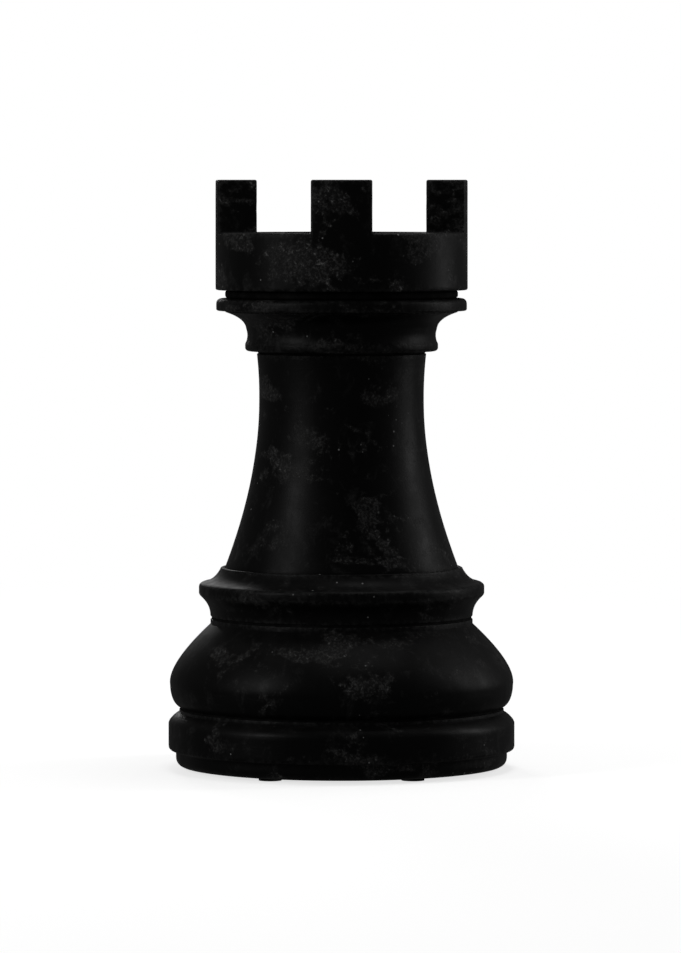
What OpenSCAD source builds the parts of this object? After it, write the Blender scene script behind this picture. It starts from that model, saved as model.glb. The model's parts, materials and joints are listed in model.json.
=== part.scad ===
// Giant rook for a garden chess set.
// Hollow moulded sections stack on spigots and are clamped by a central tie rod.
// The crown screws off to reach the rod's top nut; a plug underneath lets sand or water in.
// Origin: centre of the footprint on the floor, +Z up, front merlon towards -Y.

/* [Base] */
// Radius of the plinth at the very bottom
plinth_r = 110; // [108.5:0.5:110.5]
// Radius of the broad band round the foot
band_r = 115; // [113.5:0.5:116]
// Largest radius of the bulged base section
dome_r = 114; // [112:0.5:115]
// Height of the rubber pads that stand proud of the foot
pad_proud = 2; // [1.5:0.5:2.5]
// Number of rubber pads, and of the plate screws between them
pad_count = 6; // [4:1:8]

/* [Shaft] */
// Radius at the narrow waist between base and collar
waist_r = 87; // [85.5:0.5:88]
// Radius of the collar's edge
collar_r = 94.6; // [92:0.1:95.5]
// Radius of the stem where it leaves the collar
stem_foot_r = 76.9; // [76.5:0.1:77]
// Smallest radius of the stem
stem_min_r = 54.5; // [53.5:0.5:56]
// Height of the stem's narrowest point above its foot
stem_min_h = 117.4; // [105:0.2:125]

/* [Head] */
// Radius of the bead round the neck
neck_r = 63.8; // [62.5:0.1:64.5]
// Radius of the cornice
cornice_r = 83; // [81:0.1:84]
// Height of the gap between cornice and crown, filled by the gasket
crown_gap = 5.5; // [5:0.5:7]
// Outer radius of the crown
crown_r = 83.5; // [82:0.5:85]
// Height of the crown's drum, up to the floor of the crenels
drum_h = 37.9; // [35.5:0.1:40]
// Height of the merlons above the crenel floors
merlon_h = 35; // [28:0.5:40]
// Width of each merlon
merlon_w = 40; // [34:0.5:42]
// Radial thickness of the merlons
merlon_t = 24; // [22:0.5:24.5]

/* [Build] */
// Wall thickness of the moulded sections
wall = 4; // [3.5:0.1:4.5]
// Thickness of the flat seals between sections
seal_t = 1.6; // [1:0.1:2]
// Radius of the steel tie rod
rod_r = 4; // [3.5:0.1:4.2]
// Lead of the crown's thread
crown_pitch = 12; // [11:0.5:13]
// Lead of the filler plug's thread
plug_pitch = 4; // [3.8:0.1:4.2]

/* [Hidden] */
$fn = 96;

black = [0.05, 0.05, 0.055];
rubber = [0.1, 0.1, 0.1];
steel = [0.62, 0.63, 0.65];
iron = [0.3, 0.3, 0.32];

curve_n = 9;            // steps along a long curve
round_n = 4;            // steps round an edge
rim = 4;                // thickness of shoulders and flanges
gap = 0.3;              // running room between pieces that come apart
slip = 0.1;             // room round fasteners and inside closed joints
eps = 0.01;

// Height of each section, and how deep the stem sits in the collar
foot_h = 38;
dome_h = 58.4;
collar_h = 32.4;
socket_depth = 8;
stem_h = 148.4;
neck_h = 26.8;
cornice_h = 8.2;

// Heights of the stack, from the floor
foot_z = pad_proud;
foot_top = foot_z + foot_h;
dome_z = foot_top + seal_t;
dome_top = dome_z + dome_h;
collar_z = dome_top + seal_t;
collar_top = collar_z + collar_h;
ledge_top = collar_top - socket_depth;
stem_z = ledge_top + seal_t;
stem_top = stem_z + stem_h;
neck_z = stem_top + seal_t;
neck_top = neck_z + neck_h;
cornice_top = neck_top + cornice_h;
crown_z = cornice_top + crown_gap;
crenel_z = crown_z + drum_h;
crown_top = crenel_z + merlon_h;

// Spigots and bores of the joints between sections
spigot_t = 3.5;
foot_spigot_r = 95.5;
waist_spigot_r = 75.5;
neck_spigot_r = 51.4;
spigot_h = 8;
socket_r = stem_foot_r + gap;
ledge_r = 64;
neck_bore_r = 59.2;
groove_in_r = 66;       // groove for the cornice's seal
groove_out_r = 71;

// Dished base plate
plate_rim_z = foot_z + 1;
plate_rim_t = 6;
plate_rim_r = 102.8;
plate_z = 22;
plate_t = 4;
dish_r = 78;
plate_ledge_z = plate_rim_z + plate_rim_t + seal_t;
plate_ledge_r = 84;
plate_seal_in_r = 93.5;
rib_w = 3;
rib_h = 5;
pad_r = 7.5;
pad_ring_r = 93;
pad_recess = 2;
plate_screw_ring_r = 89;

// Ballast
ballast_in_r = 48;
ballast_out_r = 80;
ballast_h = 20;
ballast_bolt_count = 4;
ballast_bolt_ring_r = 64;
bolt_r = 3;
bolt_head_r = 5.8;
bolt_head_h = 4;

// Screws with a pan head
screw_r = 2;
screw_head_r = 3.8;
screw_head_h = 2.6;
screw_len = 18;
head_room = 0.4;        // room round a screw's head, and how deep it is sunk
boss_r = 5;

// Filler socket and plug
filler_x = -28;
filler_bore_r = 10.2;
filler_out_r = 13;
filler_flange_r = 15.5;
filler_z = 20;
filler_top = 34;
plug_shank_r = 8.6;
plug_head_r = 13.6;
plug_head_h = 5;
plug_seal_t = 2;
plug_turns = 1.5;
plug_bead = 1.2;
plug_bead_start = 1.8;  // height of the bead's start above the socket's end
slot_l = 20;            // coin slot across the plug's head
slot_w = 3.2;
slot_d = 2.5;

// Tie rod and its fasteners
nut_r = 7.5;
nut_h = 6.5;
washer_r = 12;
washer_t = 1.6;
rod_z = 9;
spider_z = neck_z + 10.9;
spider_t = 4;
spider_r = 54.6;
rod_top = spider_z + spider_t + 13.5;
window_count = 4;       // windows through the spider, for filling
window_ring_r = 31;
window_r = 14;

// Crown thread, mouth and shell
mouth_r = 55.2;
mouth_out_r = 58.8;
mouth_z = spider_z - 3.5;
mouth_ledge_r = 46;
thread_r = 52.2;
thread_in_r = 48.7;
crown_bead = 2.4;
crown_spigot_h = 21.1;
crown_turns = 1.2;
crown_bead_z = spider_z + spider_t + 2.9;
bead_root = 0.38;       // widths of a bead, as shares of its lead
bead_crest = 0.2;
crown_wall = 3.5;
crown_in_r = crown_r - merlon_t;
crown_plate_t = 6;
tray_z = crown_z + 21.9;
tray_t = 3.5;
tray_rim_h = 4.5;
tray_rim_t = 2.2;
tray_ledge = 3;
crown_screw_count = 8;
crown_screw_ring_r = 71;

// Points along a curve that leaves a towards b and arrives at c from b
function bend(a, b, c, n = curve_n) = [
    for (i = [0 : n]) let (t = i / n) (1 - t) * (1 - t) * a + 2 * t * (1 - t) * b + t * t * c
];

// Points round an arc
function arc(centre, r, from, to, n = round_n) = [
    for (i = [0 : n]) let (a = from + (to - from) * i / n) centre + r * [cos(a), sin(a)]
];

// The same outline moved towards the axis, in reverse order
function inward(outline, t) = [
    for (i = [len(outline) - 1 : -1 : 0]) outline[i] - [t, 0]
];

// Outer outlines, bottom to top, as [radius, height]
function foot_outline() = concat(
    arc([plinth_r - 5, foot_z + 5], 5, -90, 0),
    arc([plinth_r + 1.5, foot_z + 9.5], 1.5, 180, 90, 3),
    arc([band_r - 2, foot_z + 13], 2, -90, 0, 3),
    bend([band_r, foot_z + 29], [band_r - 1, foot_z + 32.5], [band_r - 7.2, foot_top - 2], 6),
    [[band_r - 7.2, foot_top]]
);

function dome_outline() = concat(
    bend([dome_r - 6, dome_z], [dome_r - 1.2, dome_z + 3], [dome_r - 0.3, dome_z + 11], 6),
    bend([dome_r, dome_z + 15], [dome_r + 1.1, dome_z + 28.7], [waist_r, dome_z + 55]),
    [[waist_r, dome_top]]
);

function collar_outline() = concat(
    bend([waist_r, collar_z], [waist_r + 0.3, collar_z + 7.5], [collar_r - 1.6, collar_z + 13], 6),
    arc([collar_r - 3, collar_z + 15.9], 3, -35, 0, 2),
    arc([collar_r - 3, collar_z + 19.2], 3, 0, 75, 3),
    bend([collar_r - 2.6, collar_z + 22.2], [socket_r + 6.5, collar_z + 24.8], [socket_r + 3, collar_top], 6)
);

function stem_outline() = concat(
    [[stem_foot_r, stem_z]],
    bend([stem_foot_r, stem_z + 7.4], [stem_min_r, stem_z + 3.4 + stem_min_h * 0.54],
        [stem_min_r, stem_z + stem_min_h], 14),
    bend([stem_min_r, stem_z + stem_min_h], [stem_min_r, stem_top - 14], [stem_min_r + 1.5, stem_top], 4)
);

function neck_outline() = concat(
    arc([neck_r - 3, neck_z + 3], 3, -90, 20, 5),
    bend([neck_r - 0.4, neck_z + 6.5], [neck_r - 2.2, neck_z + 10.5], [neck_r - 0.8, neck_z + 14.5], 4),
    bend([neck_r - 0.6, neck_z + 15.5], [neck_r + 0.6, neck_top - 5], [cornice_r - 6.2, neck_top - 1], 8),
    [[cornice_r - 6.2, neck_top]]
);

function cornice_outline() = concat(
    arc([cornice_r - 1.2, neck_top + 1.2], 1.2, -90, 0, 3),
    arc([cornice_r - 3.4, cornice_top - 3.4], 3.4, 0, 90)
);

// Thin turned shell that follows an outline
module skin(outline, t = wall) {
    polygon(concat(outline, inward(outline, t)));
}

// Rectangle in the turning plane, from inner radius to outer radius and bottom to top
module ring_2d(r1, r2, z1, z2) {
    translate([r1, z1]) square([r2 - r1, z2 - z1]);
}

module ring(r1, r2, z1, z2) {
    rotate_extrude() ring_2d(r1, r2, z1, z2);
}

// Repeats its children evenly round the axis
module around(count, ring_r, start = 0) {
    for (i = [0 : count - 1]) rotate(start + i * 360 / count) translate([ring_r, 0]) children();
}

// Right-hand helical bead from r_root to r_crest, a trapezoid in section
module helix_bead(r_root, r_crest, lead, turns, z_start, w_root, w_crest, per_turn = 24) {
    n = round(turns * per_turn);
    out = r_crest > r_root;
    section = out
        ? [[r_root, -w_root], [r_crest, -w_crest], [r_crest, w_crest], [r_root, w_root]]
        : [[r_root, w_root], [r_crest, w_crest], [r_crest, -w_crest], [r_root, -w_root]];
    points = [
        for (i = [0 : n]) let (a = i * 360 / per_turn, z = z_start + lead * i / per_turn)
            for (p = section) [p[0] * cos(a), p[0] * sin(a), z + p[1] / 2]
    ];
    sides = [
        for (i = [0 : n - 1], k = [0 : 3])
            let (a = i * 4 + k, b = i * 4 + (k + 1) % 4)
                each [[a, b, a + 4], [b, b + 4, a + 4]]
    ];
    last = n * 4;
    ends = [[2, 1, 0], [3, 2, 0], [last, last + 1, last + 2], [last, last + 2, last + 3]];
    polyhedron(points, concat(sides, ends));
}

module pan_screw(z) {
    translate([0, 0, z]) cylinder(r = screw_head_r, h = screw_head_h);
    translate([0, 0, z + screw_head_h - eps]) cylinder(r = screw_r, h = screw_len);
}

// Base ---------------------------------------------------------------

module foot_pads() color(rubber)
    around(pad_count, pad_ring_r)
        cylinder(r = pad_r, h = plate_rim_z + pad_recess);

module foot_ring() color(black)
    difference() {
        union() {
            rotate_extrude() {
                skin(foot_outline());
                ring_2d(plate_ledge_r, plinth_r - 2, plate_ledge_z, plate_ledge_z + rim);
                ring_2d(foot_spigot_r - spigot_t, band_r - 8, foot_top - rim, foot_top);
                ring_2d(foot_spigot_r - spigot_t, foot_spigot_r, foot_top - rim, foot_top + spigot_h);
            }
            around(pad_count, plate_screw_ring_r, 180 / pad_count)
                translate([0, 0, plate_ledge_z + eps])
                    cylinder(r = boss_r, h = foot_top - rim - plate_ledge_z - 4);
        }
        around(pad_count, plate_screw_ring_r, 180 / pad_count)
            translate([0, 0, plate_ledge_z - 1])
                cylinder(r = screw_r + slip, h = screw_len + 1);
    }

module base_plate() color(black)
    difference() {
        union() {
            rotate_extrude() {
                ring_2d(dish_r, plate_rim_r, plate_rim_z, plate_rim_z + plate_rim_t);
                ring_2d(dish_r, dish_r + plate_t, plate_rim_z, plate_z + plate_t);
                ring_2d(rod_r + 0.5, dish_r + plate_t, plate_z, plate_z + plate_t);
            }
            for (a = [30 : 60 : 330]) rotate(a)
                translate([washer_r + 4, -rib_w / 2, plate_z - rib_h])
                    cube([dish_r - washer_r - 2, rib_w, rib_h + eps]);
        }
        around(pad_count, pad_ring_r)
            translate([0, 0, plate_rim_z - 1]) cylinder(r = pad_r + slip, h = pad_recess + 1);
        around(pad_count, plate_screw_ring_r, 180 / pad_count) {
            translate([0, 0, plate_rim_z - 1])
                cylinder(r = screw_head_r + head_room, h = screw_head_h + head_room + 1);
            translate([0, 0, plate_rim_z]) cylinder(r = screw_r + slip, h = plate_rim_t + 1);
        }
        around(ballast_bolt_count, ballast_bolt_ring_r, 45)
            translate([0, 0, plate_z - 1]) cylinder(r = bolt_r + slip, h = plate_t + 2);
        translate([filler_x, 0, plate_z - 6]) cylinder(r = filler_out_r + slip, h = plate_t + 7);
        translate([filler_x, 0, plate_z - 6]) cylinder(r = plug_head_r + 1, h = 6);
    }

module base_plate_seal() color(rubber)
    ring(plate_seal_in_r, plate_rim_r, plate_ledge_z - seal_t, plate_ledge_z);

module base_plate_screws() color(steel)
    around(pad_count, plate_screw_ring_r, 180 / pad_count)
        pan_screw(plate_rim_z + head_room);

module ballast_ring() color(iron)
    difference() {
        rotate_extrude()
            polygon(concat(
                [[ballast_in_r, plate_z + plate_t], [ballast_out_r, plate_z + plate_t]],
                arc([ballast_out_r - 3, plate_z + plate_t + ballast_h - 3], 3, 0, 90),
                arc([ballast_in_r + 3, plate_z + plate_t + ballast_h - 3], 3, 90, 180)
            ));
        around(ballast_bolt_count, ballast_bolt_ring_r, 45)
            translate([0, 0, plate_z]) cylinder(r = bolt_r + slip, h = ballast_h + plate_t + 1);
    }

module ballast_bolts() color(steel)
    around(ballast_bolt_count, ballast_bolt_ring_r, 45) {
        translate([0, 0, plate_z - bolt_head_h]) cylinder(r = bolt_head_r, h = bolt_head_h, $fn = 6);
        translate([0, 0, plate_z - eps]) cylinder(r = bolt_r, h = plate_t + ballast_h - 2);
    }

module filler_socket() color(black)
    translate([filler_x, 0]) {
        rotate_extrude() {
            ring_2d(filler_bore_r, filler_out_r, filler_z, filler_top);
            ring_2d(filler_bore_r, filler_flange_r, plate_z + plate_t, plate_z + plate_t + 3);
        }
        helix_bead(filler_bore_r + 0.3, filler_bore_r - plug_bead, plug_pitch, plug_turns,
            filler_z + plug_bead_start, plug_pitch * 0.4, plug_pitch * bead_crest);
    }

module plug_seal() color(rubber)
    translate([filler_x, 0])
        ring(plug_shank_r + 0.4, filler_out_r, filler_z - plug_seal_t + slip, filler_z - slip);

module filler_plug() color(black)
    translate([filler_x, 0]) {
        difference() {
            rotate_extrude() {
                polygon(concat(
                    [[0, filler_z - plug_seal_t], [0, filler_z - plug_seal_t - plug_head_h]],
                    arc([plug_head_r - 1, filler_z - plug_seal_t - plug_head_h + 1], 1, -90, 0, 3),
                    [[plug_head_r, filler_z - plug_seal_t]]
                ));
                ring_2d(plug_shank_r - 3, plug_shank_r, filler_z - plug_seal_t - eps, filler_top - 1);
            }
            translate([-slot_l / 2, -slot_w / 2, filler_z - plug_seal_t - plug_head_h - 1])
                cube([slot_l, slot_w, slot_d + 1]);
        }
        helix_bead(plug_shank_r - 0.3, plug_shank_r + plug_bead, plug_pitch, plug_turns,
            filler_z + plug_bead_start + plug_pitch * 1.5, plug_pitch * 0.4, plug_pitch * bead_crest);
    }

// Shaft --------------------------------------------------------------

module foot_seal() color(rubber)
    ring(foot_spigot_r + 0.6, band_r - 8, foot_top, dome_z);

module base_dome() color(black)
    rotate_extrude() {
        skin(dome_outline(), wall + 0.5);
        ring_2d(foot_spigot_r + gap, dome_r - 9, dome_z, dome_z + rim);
        ring_2d(waist_spigot_r - spigot_t, waist_r - 1, dome_top - rim, dome_top);
        ring_2d(waist_spigot_r - spigot_t, waist_spigot_r, dome_top - rim, dome_top + spigot_h);
    }

module waist_seal() color(rubber)
    ring(waist_spigot_r + 0.6, waist_r - 0.7, dome_top, collar_z);

module waist_collar() color(black)
    rotate_extrude() {
        difference() {
            skin(collar_outline());
            ring_2d(0, socket_r, ledge_top, collar_top + 1);
        }
        ring_2d(waist_spigot_r + gap, waist_r - 1, collar_z, collar_z + rim);
        ring_2d(ledge_r, waist_r, ledge_top - rim, ledge_top);
        ring_2d(socket_r, socket_r + 2.8, ledge_top - rim, collar_top);
    }

module stem_seal() color(rubber)
    ring(ledge_r, stem_foot_r - 1, ledge_top, stem_z);

module stem() color(black)
    rotate_extrude() {
        skin(stem_outline());
        ring_2d(ledge_r, stem_foot_r - 1, stem_z, stem_z + rim);
        ring_2d(neck_spigot_r - spigot_t, stem_min_r, stem_top - rim, stem_top);
        ring_2d(neck_spigot_r - spigot_t, neck_spigot_r, stem_top - rim, neck_z + rim + 0.8);
    }

module neck_seal() color(rubber)
    ring(neck_spigot_r + 0.4, stem_min_r + 0.9, stem_top, neck_z);

// Head ---------------------------------------------------------------

module neck_collar() color(black)
    rotate_extrude()
        difference() {
            polygon(concat(
                neck_outline(),
                [[neck_bore_r, neck_top], [neck_bore_r, neck_z + rim]],
                [[neck_spigot_r + gap, neck_z + rim], [neck_spigot_r + gap, neck_z]]
            ));
            ring_2d(groove_in_r, groove_out_r, neck_top - seal_t, neck_top + 1);
        }

module cornice_seal() color(rubber)
    ring(groove_in_r + slip, groove_out_r - slip, neck_top - seal_t, neck_top);

module cornice() color(black) {
    rotate_extrude() {
        polygon(concat(cornice_outline(), [[mouth_r, cornice_top], [mouth_r, neck_top]]));
        ring_2d(mouth_r, mouth_out_r, mouth_z, neck_top + 1);
        ring_2d(mouth_ledge_r, mouth_out_r, mouth_z, spider_z);
    }
    helix_bead(mouth_r + 0.4, mouth_r - crown_bead, crown_pitch, crown_turns,
        crown_bead_z, crown_pitch * bead_root, crown_pitch * bead_crest);
}

module neck_spider() color(steel)
    difference() {
        translate([0, 0, spider_z]) cylinder(r = spider_r, h = spider_t);
        translate([0, 0, spider_z - 1]) cylinder(r = rod_r + 0.4, h = spider_t + 2);
        around(window_count, window_ring_r, 45)
            translate([0, 0, spider_z - 1]) cylinder(r = window_r, h = spider_t + 2);
    }

module tie_rod() color(steel)
    rotate_extrude()
        polygon([[0, rod_z], [rod_r - 1, rod_z], [rod_r, rod_z + 1],
            [rod_r, rod_top - 1], [rod_r - 1, rod_top], [0, rod_top]]);

module rod_nuts() color(steel)
    for (z = [plate_z - seal_t - washer_t - nut_h, spider_z + spider_t + washer_t])
        translate([0, 0, z])
            difference() {
                cylinder(r = nut_r, h = nut_h, $fn = 6);
                translate([0, 0, -1]) cylinder(r = rod_r + slip, h = nut_h + 2);
            }

module rod_washers() color(steel)
    for (z = [plate_z - seal_t - washer_t, spider_z + spider_t])
        ring(rod_r + 0.4, washer_r, z, z + washer_t);

module rod_seal() color(rubber)
    ring(rod_r + slip, washer_r, plate_z - seal_t, plate_z);

// Crown --------------------------------------------------------------

module crown_gasket() color(rubber)
    rotate_extrude()
        polygon(concat(
            [[mouth_r + 0.2, cornice_top + slip]],
            arc([crown_r - 8.3, cornice_top + slip + 2], 2, -90, 0),
            arc([crown_r - 8.3, crown_z - slip - 2], 2, 0, 90),
            [[mouth_r + 0.2, crown_z - slip]]
        ));

module crown_base() color(black) {
    difference() {
        rotate_extrude() {
            ring_2d(thread_in_r, crown_r - crown_wall - gap, crown_z, crown_z + crown_plate_t);
            ring_2d(thread_in_r, thread_r, crown_z - crown_spigot_h, crown_z + 1);
        }
        around(crown_screw_count, crown_screw_ring_r, 180 / crown_screw_count) {
            translate([0, 0, crown_z - 1])
                cylinder(r = screw_head_r + head_room, h = screw_head_h + head_room + 1);
            translate([0, 0, crown_z]) cylinder(r = screw_r + slip, h = crown_plate_t + 1);
        }
    }
    helix_bead(thread_r - 0.4, thread_r + crown_bead, crown_pitch, crown_turns,
        crown_bead_z + crown_pitch / 2, crown_pitch * bead_root, crown_pitch * bead_crest);
}

// Upright slab through the axis, as wide as the merlon less a margin each side
module merlon_slab(margin, z1, z2) {
    w = merlon_w - 2 * margin;
    translate([-w / 2, -crown_r - 1, z1]) cube([w, crown_r + 1, z2 - z1]);
}

module merlon() {
    intersection() {
        ring(crown_in_r, crown_r, crenel_z - crown_wall, crown_top);
        merlon_slab(0, crenel_z - crown_wall - 1, crown_top + 1);
    }
}

module merlon_core() {
    intersection() {
        ring(crown_in_r + crown_wall, crown_r - crown_wall, crenel_z - crown_wall - 1,
            crown_top - crown_wall);
        merlon_slab(crown_wall, crenel_z - crown_wall - 2, crown_top);
    }
}

module crown_shell() color(black)
    difference() {
        union() {
            rotate_extrude() {
                ring_2d(crown_r - crown_wall, crown_r, crown_z, crenel_z);
                ring_2d(crown_in_r, crown_in_r + crown_wall, crown_z + crown_plate_t + 0.2, crenel_z);
                ring_2d(crown_in_r, crown_r, crenel_z - crown_wall, crenel_z);
                ring_2d(crown_in_r - tray_ledge, crown_in_r + 1, tray_z - tray_ledge, tray_z);
            }
            for (a = [0 : 90 : 270]) rotate(a) merlon();
            around(crown_screw_count, crown_screw_ring_r, 180 / crown_screw_count)
                translate([0, 0, crown_z + crown_plate_t + 0.2])
                    cylinder(r = boss_r, h = crenel_z - crown_wall / 2 - crown_z - crown_plate_t);
        }
        for (a = [0 : 90 : 270]) rotate(a) merlon_core();
        around(crown_screw_count, crown_screw_ring_r, 180 / crown_screw_count)
            translate([0, 0, crown_z]) cylinder(r = screw_r + slip, h = screw_len + crown_plate_t);
    }

module crown_tray() color(black)
    rotate_extrude() {
        ring_2d(0, crown_in_r - gap, tray_z, tray_z + tray_t);
        ring_2d(crown_in_r - gap - tray_rim_t, crown_in_r - gap, tray_z, tray_z + tray_t + tray_rim_h);
    }

module crown_screws() color(steel)
    around(crown_screw_count, crown_screw_ring_r, 180 / crown_screw_count)
        pan_screw(crown_z + head_room);

foot_pads();
foot_ring();
base_plate();
base_plate_seal();
base_plate_screws();
ballast_ring();
ballast_bolts();
filler_socket();
foot_seal();
base_dome();
waist_seal();
waist_collar();
stem_seal();
stem();
neck_seal();
neck_collar();
cornice_seal();
cornice();
neck_spider();
tie_rod();
rod_nuts();
rod_washers();
rod_seal();
crown_gasket();
crown_base();
crown_shell();
crown_tray();
crown_screws();
plug_seal();
filler_plug();
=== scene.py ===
import json
import math

import bmesh
import bpy
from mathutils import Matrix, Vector, kdtree, noise


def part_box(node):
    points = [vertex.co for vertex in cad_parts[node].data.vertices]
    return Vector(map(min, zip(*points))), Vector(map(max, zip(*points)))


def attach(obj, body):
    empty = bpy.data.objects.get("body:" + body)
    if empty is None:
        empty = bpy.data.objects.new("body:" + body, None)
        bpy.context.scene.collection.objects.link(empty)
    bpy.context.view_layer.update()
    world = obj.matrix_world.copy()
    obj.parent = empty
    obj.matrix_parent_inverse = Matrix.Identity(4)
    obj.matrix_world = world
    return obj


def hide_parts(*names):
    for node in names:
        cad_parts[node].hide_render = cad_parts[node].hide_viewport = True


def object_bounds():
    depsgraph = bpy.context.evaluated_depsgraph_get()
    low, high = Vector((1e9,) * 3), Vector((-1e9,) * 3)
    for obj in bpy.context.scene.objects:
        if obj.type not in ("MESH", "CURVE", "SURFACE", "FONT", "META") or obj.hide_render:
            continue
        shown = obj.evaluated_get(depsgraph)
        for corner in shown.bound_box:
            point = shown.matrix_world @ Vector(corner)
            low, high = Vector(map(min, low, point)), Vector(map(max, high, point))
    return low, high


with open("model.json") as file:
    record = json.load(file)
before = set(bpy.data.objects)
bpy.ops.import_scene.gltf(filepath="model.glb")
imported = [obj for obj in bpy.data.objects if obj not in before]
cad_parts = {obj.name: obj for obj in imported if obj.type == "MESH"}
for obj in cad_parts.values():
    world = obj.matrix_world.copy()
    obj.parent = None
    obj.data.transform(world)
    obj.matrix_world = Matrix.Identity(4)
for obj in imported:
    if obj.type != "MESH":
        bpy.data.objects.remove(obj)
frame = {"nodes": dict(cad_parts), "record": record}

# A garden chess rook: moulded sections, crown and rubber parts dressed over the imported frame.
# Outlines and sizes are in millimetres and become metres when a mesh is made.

CAD_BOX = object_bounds()
MM = 0.001

# ---------------------------------------------------------------- sizes, from the frame


def low(node):
    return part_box(node)[0].z / MM


def high(node):
    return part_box(node)[1].z / MM


def radius(node):
    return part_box(node)[1].x / MM


FOOT_Z, FOOT_TOP = low("foot_ring"), low("foot_seal")
DOME_Z, DOME_TOP = low("base_dome"), low("waist_seal")
COLLAR_Z, COLLAR_TOP = low("waist_collar"), high("waist_collar")
STEM_Z, STEM_TOP = low("stem"), low("neck_seal")
NECK_Z, NECK_TOP = low("neck_collar"), high("neck_collar")
SPIDER_Z, SPIDER_TOP = low("neck_spider"), high("neck_spider")
CORNICE_TOP = high("cornice")
CROWN_Z, CROWN_TOP = low("crown_shell"), high("crown_shell")
TRAY_Z, TRAY_TOP = low("crown_tray"), high("crown_tray")
SHELF_Z = high("base_plate_seal")

PLAY = 0.3                  # running room between pieces that come apart
SLIP = 0.1                  # room inside closed joints
PLINTH_SET_IN = 5           # how far the plinth stands in under the band
WAIST_SEAL_SET_IN = 0.7     # how far the waist's seal stands in from the faces it parts
NECK_SEAL_PROUD = 0.9       # how far the neck's seal stands past the stem's narrowest radius
SPIDER_ROOM = 0.6           # room round the clamp plate in the cornice's mouth
MOUTH_WALL = 3.6

BAND_R, DOME_R, COLLAR_R = radius("foot_ring"), radius("base_dome"), radius("waist_collar")
PLINTH_R = BAND_R - PLINTH_SET_IN
WAIST_R = radius("waist_seal") + WAIST_SEAL_SET_IN
STEM_R = radius("stem")
STEM_MIN_R = radius("neck_seal") - NECK_SEAL_PROUD
NECK_BEAD_R = 63.8
CORNICE_R, CROWN_R = radius("cornice"), radius("crown_shell")
MOUTH_R = radius("neck_spider") + SPIDER_ROOM
MOUTH_OUT_R = MOUTH_R + MOUTH_WALL
GASKET_R, TRAY_R = radius("crown_gasket"), radius("crown_tray")
GASKET_IN_R = MOUTH_R + 2 * SLIP
WELL_R = TRAY_R + PLAY

MERLON_H = 35
MERLON_HALF = 20
CRENEL_Z = CROWN_TOP - MERLON_H
WALL = 4
DOME_WALL = 4.5
CROWN_WALL = 3.5
SHELL_T = 3.5               # thickness of spigots, ledges and the tray's floor

# Spigots centre each section on the next, in bores a little wider
FOOT_SPIGOT_R, WAIST_SPIGOT_R, NECK_SPIGOT_R = 95.5, 75.5, 51.4
SPIGOT_H = 8
NECK_SPIGOT_TOP = NECK_Z + 4.8
SOCKET_R = STEM_R + PLAY
LEDGE_R = 64                # bore through the collar's ledge and the stem's foot
LEDGE_TOP = COLLAR_TOP - 8
PLATE_LEDGE_R = 84          # bore through the shelf over the base plate
NECK_BORE_R = 59.2
MOUTH_LEDGE_R = 46          # bore through the ledge under the clamp plate
GROOVE_IN_R, GROOVE_OUT_R, GROOVE_DEPTH = 66, 71, 1.6

SCREW_R, SCREW_HOLE_R = 2, 2.1
SCREW_HEAD_R, SCREW_HEAD_H = 3.8, 2.6
SCREW_SOCKET_R, SCREW_SOCKET_DEPTH = 1.7, 1.5
SCREW_TIP_H, SCREW_TIP_IN = 1, 0.7
BOSS_R = 5
FOOT_BOSSES, FOOT_BOSS_RING_R = 6, 89
CROWN_BOSSES, CROWN_BOSS_RING_R = 8, 71

# ---------------------------------------------------------------- outlines
# An outline is a closed, anticlockwise list of corners (radius, height, rounding).

ROUNDED_SHARE = 0.96        # share of a side that the rounding of its corners may take
NEARLY_STRAIGHT = math.radians(175)


def curve(a, b, c, n=14):
    """Corners along a curve from a to c that leaves and arrives towards b."""
    return [
        tuple((1 - t) ** 2 * a[k] + 2 * t * (1 - t) * b[k] + t * t * c[k] for k in (0, 1)) + (0,)
        for t in (i / n for i in range(n + 1))
    ]


def rounded(corners, steps=5):
    """The outline's points with corners rounded, and the convex corners that handling wears."""
    points, handled = [], []
    count = len(corners)
    for i, (r, z, rounding) in enumerate(corners):
        here = Vector((r, z))
        last, following = corners[i - 1], corners[(i + 1) % count]
        back, ahead = Vector(last[:2]) - here, Vector(following[:2]) - here
        turn = back.angle(ahead, math.pi)
        if rounding <= 0 or turn > NEARLY_STRAIGHT:
            points.append((r, z))
            continue
        room = [ROUNDED_SHARE * side.length * rounding / (rounding + other[2])
                for side, other in ((back, last), (ahead, following))]
        reach = min(rounding / math.tan(turn / 2), *room)
        bend = reach * math.tan(turn / 2)
        start = here + back.normalized() * reach
        end = here + ahead.normalized() * reach
        middle = (back.normalized() + ahead.normalized()).normalized()
        centre = here + middle * (bend / math.sin(turn / 2))
        from_a = math.atan2(start.y - centre.y, start.x - centre.x)
        to_a = math.atan2(end.y - centre.y, end.x - centre.x)
        span = (to_a - from_a + math.pi) % (2 * math.pi) - math.pi
        for k in range(steps + 1):
            a = from_a + span * k / steps
            points.append((centre.x + bend * math.cos(a), centre.y + bend * math.sin(a)))
        if span > 0:
            handled.append((r, z))
    return points, handled


def divided(points, longest=3.0):
    """The outline with its long straight stretches cut into short ones."""
    out = []
    for i, a in enumerate(points):
        b = points[(i + 1) % len(points)]
        cuts = max(1, math.ceil(math.dist(a, b) / longest))
        out += [(a[0] + (b[0] - a[0]) * k / cuts, a[1] + (b[1] - a[1]) * k / cuts) for k in range(cuts)]
    return out


def steps_between(a, b, longest=3.0):
    n = max(1, math.ceil(abs(b - a) / longest))
    return [a + (b - a) * i / n for i in range(n + 1)]


# ---------------------------------------------------------------- mesh helpers

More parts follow.
